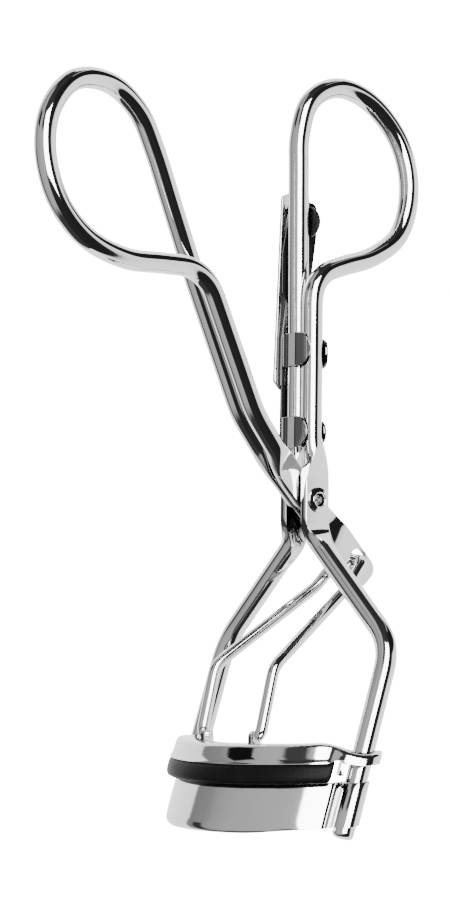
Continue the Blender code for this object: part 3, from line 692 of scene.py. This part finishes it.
def wrap_tab(name, z_mid, half, reach, direction, mat):
    """Strap bent off the web round the far wire and laid flat across both wires, its end rounded."""
    t = 0.17
    gap = 0.05
    inner = WIRE_R + gap + t
    plan = []
    for k in range(13):
        a = math.pi / 2 * k / 12
        bend = inner * (1 + 0.22 * math.sin(2 * a) ** 2)
        plan.append((-HANDLE_X - bend * math.cos(a), HANDLE_Y + direction * bend * math.sin(a)))
    for k in range(1, 26):
        x = mix(-HANDLE_X, reach, k / 25)
        drop = -0.17 * (min(x, 0.4) + HANDLE_X) + 0.06 * max(0.0, x - 0.4)
        drop += 0.4 * smoothstep(HANDLE_X + 0.3, HANDLE_X + 1.6, x) ** 1.5
        plan.append((x, HANDLE_Y + direction * (inner - drop)))
    bm = bmesh.new()
    rings = []
    for i, (x, y) in enumerate(plan):
        x0, y0 = plan[max(i - 1, 0)]
        x1, y1 = plan[min(i + 1, len(plan) - 1)]
        length = math.hypot(x1 - x0, y1 - y0)
        nx, ny = -(y1 - y0) / length * direction, (x1 - x0) / length * direction
        to_end = (reach - x) / (0.85 * half)
        h = half * max(math.sqrt(1 - (1 - min(max(to_end, 0.0), 1.0)) ** 2), 0.12)
        e = 0.05
        ring = [(t, -h + e), (t - e, -h), (-t + e, -h), (-t, -h + e),
                (-t, h - e), (-t + e, h), (t - e, h), (t, h - e)]
        rings.append([Vector((x + nx * a, y + ny * a, z_mid + b)) for a, b in ring])
    bridge(bm, rings)
    tab = add_piece(name, bm, mat)
    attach(tab, "frame")


def make_accessory(web_mat, holder_mat, blade_mat, rivet_mat):
    """Holder web with its tabs round the handle's wires, the slim blade and the blade's rivet."""
    web = rounded_outline([(-1.1, 7.2, 0.4), (1.9, 7.2, 0.4), (2.9, 16.0, 2.0), (3.1, 30.0, 0),
                           (3.9, 36.5, 1.0), (3.9, 41.0, 0.8), (1.7, 41.4, 0.8), (-0.2, 39.4, 0.8),
                           (-1.1, 34.0, 2.0), (-1.1, 28.5, 1.0), (-0.4, 26.8, 0), (-1.0, 22.0, 0)])
    # The web's material is near black to paint the shade it sits in between the wires.
    holder = plate("holder_web", web, -3.3, -3.0, 0.05, web_mat, WEB_TWIST)
    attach(holder, "frame")
    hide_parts("accessory_holder")
    wrap_tab("front_tab_upper", 20.4, 2.25, 2.75, -1, holder_mat)
    wrap_tab("front_tab_lower", 9.2, 2.1, 2.4, -1, holder_mat)
    wrap_tab("back_tab_upper", 19.9, 2.05, 2.9, 1, holder_mat)
    wrap_tab("back_tab_lower", 9.2, 1.75, 2.3, 1, holder_mat)
    wrap_tab("back_tab_top", 38.2, 2.1, 0.5, 1, web_mat)

    outline = rounded_outline([(-1.9, 16.3, 0.3), (-0.9, 15.2, 0.3), (3.9, 15.1, 0.8), (4.2, 42.3, 0.4),
                               (0.8, 42.5, 0.4), (-0.75, 41.9, 0.4)])
    blade = plate("blade_strip", outline, -4.25, -3.85, 0.1, blade_mat)
    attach(blade, "blade")
    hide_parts("accessory_blade")

    dome = [(-4.27 - 0.36 * math.cos(a), 0.02 + 1.08 * math.sin(a)) for a in
            (math.pi / 2 * k / 10 for k in range(11))]
    bm = bmesh.new()
    revolve(bm, dome + [(-4.25, 0.4), (-3.0, 0.4), (-3.0, 0.02)], BLADE_PIVOT, Vector((1, 0, 0)), 32)
    rivet = add_piece("blade_rivet", bm, rivet_mat, 50)
    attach(rivet, "frame")
    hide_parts("accessory_rivet")


# Materials ----------------------------------------------------------------------------------------
def material(name):
    """New node material, with its node tree and its Principled shader."""
    mat = bpy.data.materials.new(name)
    mat.use_nodes = True
    return mat, mat.node_tree, mat.node_tree.nodes["Principled BSDF"]


def metal(name, color, roughness, grain, ripple):
    """Polished plated steel: faint orange peel, smudges, a hint of drawn grain, and painted shade in
    masked recesses.
    """
    mat, tree, shader = material(name)
    new, link = tree.nodes.new, tree.links.new
    shader.inputs["Metallic"].default_value = 1.0
    coords = new("ShaderNodeTexCoord")

    smudge = new("ShaderNodeTexNoise")
    smudge.inputs["Scale"].default_value = 160.0
    smudge.inputs["Detail"].default_value = 5.0
    link(coords.outputs["Object"], smudge.inputs["Vector"])
    tone = new("ShaderNodeMapRange")
    tone.inputs["From Min"].default_value = 0.35
    tone.inputs["From Max"].default_value = 0.7
    tone.inputs["To Min"].default_value = roughness
    tone.inputs["To Max"].default_value = roughness * 1.7
    link(smudge.outputs["Fac"], tone.inputs["Value"])
    link(tone.outputs["Result"], shader.inputs["Roughness"])

    shade = new("ShaderNodeMix")
    shade.data_type = 'RGBA'
    shade.inputs["A"].default_value = (*color, 1.0)
    shade.inputs["B"].default_value = (*[c * 0.93 for c in color], 1.0)
    link(smudge.outputs["Fac"], shade.inputs["Factor"])
    # Painted shade: where a mesh's recess mask is set, the colour is mixed down to near black.
    painted_recess_shade = new("ShaderNodeAttribute")
    painted_recess_shade.attribute_name = "painted_recess_shade"
    painted_shade_mix = new("ShaderNodeMix")
    painted_shade_mix.data_type = 'RGBA'
    painted_shade_mix.inputs["B"].default_value = (0.03, 0.03, 0.03, 1.0)
    link(painted_recess_shade.outputs["Fac"], painted_shade_mix.inputs["Factor"])
    link(shade.outputs["Result"], painted_shade_mix.inputs["A"])
    link(painted_shade_mix.outputs["Result"], shader.inputs["Base Color"])

    stretch = new("ShaderNodeMapping")
    stretch.inputs["Scale"].default_value = (9000.0, 9000.0, 500.0)
    link(coords.outputs["Object"], stretch.inputs["Vector"])
    lines = new("ShaderNodeTexNoise")
    lines.inputs["Scale"].default_value = 1.0
    lines.inputs["Detail"].default_value = 3.0
    link(stretch.outputs["Vector"], lines.inputs["Vector"])
    grain_bump = new("ShaderNodeBump")
    grain_bump.inputs["Strength"].default_value = grain
    grain_bump.inputs["Distance"].default_value = 0.00001
    link(lines.outputs["Fac"], grain_bump.inputs["Height"])

    peel = new("ShaderNodeTexNoise")
    peel.inputs["Scale"].default_value = 900.0
    peel.inputs["Detail"].default_value = 2.0
    link(coords.outputs["Object"], peel.inputs["Vector"])
    peel_bump = new("ShaderNodeBump")
    peel_bump.inputs["Strength"].default_value = ripple
    peel_bump.inputs["Distance"].default_value = 0.00002
    link(peel.outputs["Fac"], peel_bump.inputs["Height"])
    link(grain_bump.outputs["Normal"], peel_bump.inputs["Normal"])
    link(peel_bump.outputs["Normal"], shader.inputs["Normal"])
    return mat


def rubber_material():
    """Moulded black rubber: satin, slightly dusty, with a fine moulded texture."""
    mat, tree, shader = material("soft_black_rubber")
    new, link = tree.nodes.new, tree.links.new
    coords = new("ShaderNodeTexCoord")
    cloud = new("ShaderNodeTexNoise")
    cloud.inputs["Scale"].default_value = 260.0
    cloud.inputs["Detail"].default_value = 6.0
    link(coords.outputs["Object"], cloud.inputs["Vector"])
    shade = new("ShaderNodeMix")
    shade.data_type = 'RGBA'
    shade.inputs["A"].default_value = (0.002, 0.002, 0.002, 1.0)
    shade.inputs["B"].default_value = (0.006, 0.006, 0.006, 1.0)
    link(cloud.outputs["Fac"], shade.inputs["Factor"])
    link(shade.outputs["Result"], shader.inputs["Base Color"])
    gloss = new("ShaderNodeMapRange")
    shader.inputs["Specular IOR Level"].default_value = 0.06
    gloss.inputs["To Min"].default_value = 0.32
    gloss.inputs["To Max"].default_value = 0.48
    link(cloud.outputs["Fac"], gloss.inputs["Value"])
    link(gloss.outputs["Result"], shader.inputs["Roughness"])
    grain = new("ShaderNodeTexNoise")
    grain.inputs["Scale"].default_value = 5200.0
    grain.inputs["Detail"].default_value = 2.0
    link(coords.outputs["Object"], grain.inputs["Vector"])
    bump = new("ShaderNodeBump")
    bump.inputs["Strength"].default_value = 0.25
    bump.inputs["Distance"].default_value = 0.00004
    link(grain.outputs["Fac"], bump.inputs["Height"])
    link(bump.outputs["Normal"], shader.inputs["Normal"])
    return mat


# Studio -------------------------------------------------------------------------------------------
CAMERA_AZIMUTH = math.radians(39.263)
CAMERA_ELEVATION = math.radians(-4.048)
CAMERA_ROLL = math.radians(0.677)
CAMERA_DISTANCE = 336.23
CAMERA_LENS = 99.34            # focal length, millimetres, on a 36 mm sensor
CAMERA_SHIFT = (-10.418, 6.542)
WHITE = 18.0                   # radiance of the pale floor and backdrop


def make_camera():
    """Camera low beside the jaws' front, level with the pivot and rolled very slightly."""
    az, el, roll = CAMERA_AZIMUTH, CAMERA_ELEVATION, CAMERA_ROLL
    back = Vector((math.cos(az) * math.cos(el), -math.sin(az) * math.cos(el), math.sin(el)))
    level = Vector((math.sin(az), math.cos(az), 0))
    above = back.cross(level)
    right = level * math.cos(roll) + above * math.sin(roll)
    up = above * math.cos(roll) - level * math.sin(roll)
    data = bpy.data.cameras.new("camera")
    data.sensor_width = 36.0
    data.lens = CAMERA_LENS
    data.clip_start = 0.01
    data.clip_end = 20.0
    camera = bpy.data.objects.new("camera", data)
    bpy.context.scene.collection.objects.link(camera)
    place = to_frame(back * CAMERA_DISTANCE + right * CAMERA_SHIFT[0] + up * CAMERA_SHIFT[1])
    turn = Matrix((right, up, back)).transposed().to_4x4()
    camera.matrix_world = Matrix.Translation(place) @ turn
    bpy.context.scene.camera = camera


def ramp(tree, stops):
    """Grey colour ramp through (position, value) stops."""
    node = tree.nodes.new("ShaderNodeValToRGB")
    elements = node.color_ramp.elements
    while len(elements) > 1:
        elements.remove(elements[-1])
    for i, (position, value) in enumerate(stops):
        element = elements[0] if i == 0 else elements.new(position)
        element.position = position
        element.color = (value, value, value, 1.0)
    return node


def math_node(tree, operation, a, b=None):
    """Maths node on sockets or plain numbers."""
    node = tree.nodes.new("ShaderNodeMath")
    node.operation = operation
    for socket, value in zip(node.inputs, (a, b)):
        if value is None:
            continue
        if isinstance(value, (int, float)):
            socket.default_value = value
        else:
            tree.links.new(value, socket)
    return node.outputs[0]


def rise(tree, value, edge, soft):
    """Mask that goes from 0 to 1 as the value passes an edge."""
    node = tree.nodes.new("ShaderNodeMapRange")
    node.interpolation_type = 'SMOOTHSTEP'
    node.inputs["From Min"].default_value = edge - soft / 2
    node.inputs["From Max"].default_value = edge + soft / 2
    tree.links.new(value, node.inputs["Value"])
    return node.outputs["Result"]


def card(tree, around, above, azimuths, elevations, soft):
    """Mask of a soft-edged rectangle in the sky, its sides in degrees."""
    wide = math_node(tree, 'SUBTRACT', rise(tree, around, azimuths[0], soft),
                     rise(tree, around, azimuths[1], soft))
    tall = math_node(tree, 'SUBTRACT', rise(tree, above, elevations[0], soft),
                     rise(tree, above, elevations[1], soft))
    return math_node(tree, 'MULTIPLY', wide, tall)


# Azimuths run from the camera's side towards image right, elevations from the horizon, in degrees.
# The walls' radiance by azimuth, then soft-edged cards laid over them, later ones in front.
WALLS = ((-180, 2.6), (-150, 2.3), (-117, 1.9), (-115, 0.3), (-97, 0.36), (-88, 0.5), (-70, 0.62),
         (-12, 0.75), (66, 0.75), (70, 1.5), (80, 2.0), (120, 2.3), (180, 2.6))
CARDS = (
    # (azimuths), (elevations), radiance, softness
    ((-107, -96), (-70, 8), 0.05, 4),          # black flag low on the left
    ((-142, 72), (-100, -43), 0.06, 14),       # dark table edge
    ((-24, 68), (-100, -4), 0.03, 10),         # dim room below the window
    ((-46, 68), (47, 100), 0.05, 5),           # and above the window
    ((32, 69), (-100, 100), 0.025, 4),         # black flat on the right
    ((60, 120), (22, 57), 0.02, 5),            # its top, reaching back
    ((-46, 112), (58, 100), 0.05, 6),          # ceiling's near edge
    ((-180, 180), (74, 100), 0.04, 8),         # dark ceiling
    ((-90, -66), (29, 44), 0.01, 3),           # small flags over the jaws
    ((-38, -16), (30, 50), 0.07, 6),
    ((-10, 32), (-4, 47), 16.0, 2),            # bright window
)


def make_studio():
    """Light tent with a bright window in front, black flats beside it, a dark table and ceiling."""
    world = bpy.data.worlds.new("studio")
    world.use_nodes = True
    bpy.context.scene.world = world
    tree = world.node_tree
    link = tree.links.new
    background = tree.nodes["Background"]
    coords = tree.nodes.new("ShaderNodeTexCoord")
    turn = tree.nodes.new("ShaderNodeMapping")
    turn.vector_type = 'POINT'
    turn.inputs["Rotation"].default_value = (0, 0, CAMERA_AZIMUTH)
    link(coords.outputs["Generated"], turn.inputs["Vector"])
    split = tree.nodes.new("ShaderNodeSeparateXYZ")
    link(turn.outputs["Vector"], split.inputs["Vector"])
    around = math_node(tree, 'ARCTAN2', split.outputs["Y"], split.outputs["X"])
    around = math_node(tree, 'MULTIPLY', around, math.degrees(1))
    above = math_node(tree, 'ARCSINE', split.outputs["Z"])
    above = math_node(tree, 'MULTIPLY', above, math.degrees(1))

    share = math_node(tree, 'MULTIPLY_ADD', around, 1 / 360)
    share.node.inputs[2].default_value = 0.5
    walls = ramp(tree, [((angle + 180) / 360, value) for angle, value in WALLS])
    link(share, walls.inputs["Fac"])
    light = walls.outputs["Color"]
    for azimuths, elevations, radiance, soft in CARDS:
        blend = tree.nodes.new("ShaderNodeMix")
        blend.data_type = 'FLOAT'
        link(card(tree, around, above, azimuths, elevations, soft), blend.inputs["Factor"])
        link(light, blend.inputs["A"])
        blend.inputs["B"].default_value = radiance
        light = blend.outputs["Result"]
    path = tree.nodes.new("ShaderNodeLightPath")
    seen = tree.nodes.new("ShaderNodeMix")
    seen.data_type = 'RGBA'
    link(path.outputs["Is Camera Ray"], seen.inputs["Factor"])
    link(light, seen.inputs["A"])
    seen.inputs["B"].default_value = (WHITE, WHITE, WHITE, 1.0)
    link(seen.outputs["Result"], background.inputs["Color"])
    background.inputs["Strength"].default_value = 1.0

    bpy.ops.mesh.primitive_plane_add(size=6.0, location=(0, 0, cad_box[0][2] - 0.0003))
    floor = bpy.context.object
    floor.name = "floor"
    mat, _, shader = material("pale_floor")
    shader.inputs["Base Color"].default_value = (0.9, 0.9, 0.9, 1.0)
    shader.inputs["Roughness"].default_value = 0.9
    shader.inputs["Emission Color"].default_value = (1.0, 1.0, 1.0, 1.0)
    shader.inputs["Emission Strength"].default_value = WHITE
    floor.visible_glossy = False
    floor.visible_diffuse = False
    floor.data.materials.append(mat)


CHROME = (0.72, 0.72, 0.725)
make_handles(metal("polished_chrome_fixed", CHROME, 0.035, 0.04, 0.12),
             metal("polished_chrome_moving", CHROME, 0.035, 0.04, 0.12))
make_pivot_rivet(metal("rivet_polish", (0.72, 0.72, 0.72), 0.05, 0.06, 0.15))
make_link(metal("polished_chrome_link", CHROME, 0.04, 0.04, 0.12))
make_upper_jaw(metal("polished_chrome_upper_jaw", CHROME, 0.05, 0.05, 0.3))
make_pad(rubber_material())
make_lower_jaw(metal("polished_chrome_lower_jaw", CHROME, 0.05, 0.08, 0.15))
# The holder web's near-black colour is painted shade between the handle's wires; the top back tab shares
# it.
make_accessory(metal("holder_web_painted_shade", (0.05, 0.05, 0.05), 0.15, 0.2, 0.1),
               metal("holder_steel_sheet", (0.22, 0.22, 0.22), 0.1, 0.25, 0.1),
               metal("blade_polish", (0.7, 0.7, 0.7), 0.06, 0.12, 0.06),
               metal("blade_rivet_polish", (0.6, 0.6, 0.6), 0.12, 0.1, 0.1))
make_camera()
make_studio()
